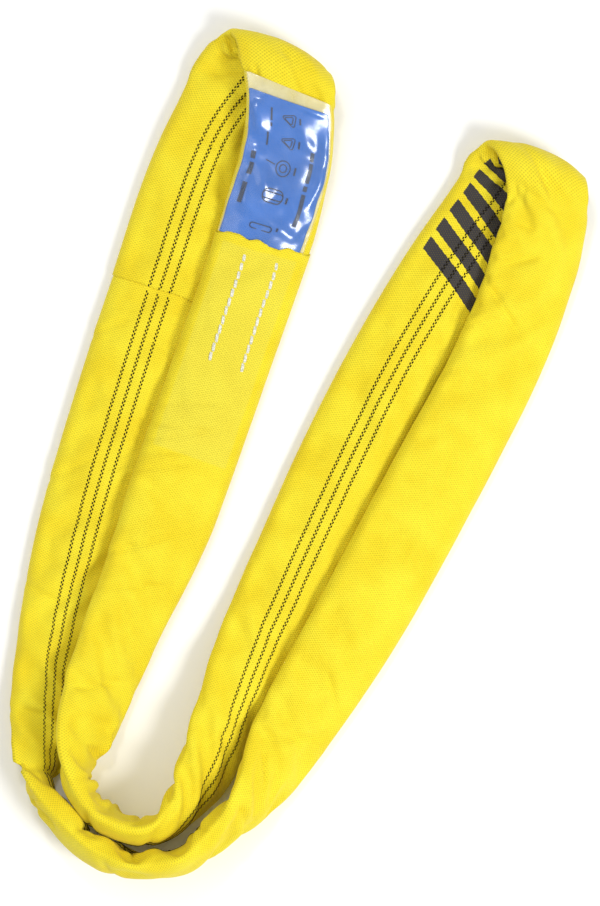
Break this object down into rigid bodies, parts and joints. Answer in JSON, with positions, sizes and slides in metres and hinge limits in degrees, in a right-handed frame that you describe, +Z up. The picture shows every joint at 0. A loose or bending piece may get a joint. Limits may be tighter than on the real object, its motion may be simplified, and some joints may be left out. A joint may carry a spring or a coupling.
{
  "type": "round sling",
  "caption": "Endless polyester round sling in a tubular woven cover with tracer lines and a label pouch, doubled flat and laid in a U.",
  "frame": {"origin": "on the table under the middle of the laid-out sling", "axes": "+Z up from the table; +Y from the bottom of the U towards its two ends; +X from the arm with the label towards the other arm"},
  "size_m": [0.344, 0.4993, 0.05],
  "materials": {
    "cover": "woven",
    "tracer": "woven",
    "core": "yarn",
    "tape": "tape",
    "film": "clear",
    "label": "satin",
    "thread": "thread"
  },
  "bodies": {
    "sling": {"main_cover": "cover", "joint_cover": "cover", "main_tracer_1": "tracer", "main_tracer_2": "tracer", "main_tracer_3": "tracer", "joint_tracer_1": "tracer", "joint_tracer_2": "tracer", "joint_tracer_3": "tracer", "core_yarn_1": "core", "core_yarn_2": "core", "core_yarn_3": "core", "core_yarn_4": "core", "core_yarn_5": "core", "core_tape": "tape", "label_tail": "label", "stitch_row_1": "thread", "stitch_row_2": "thread"},
    "label_pouch": {"pouch_back": "film", "label": "label", "pouch_front": "film"}
  },
  "joints": [
    {"name": "label_flap", "type": "hinge", "parent": "sling", "child": "label_pouch", "pos_m": [-0.02208, 0.12173, 0.0203], "axis": [0.9417, -0.2985, -0.1552], "range_deg": [0, 140]}
  ]
}
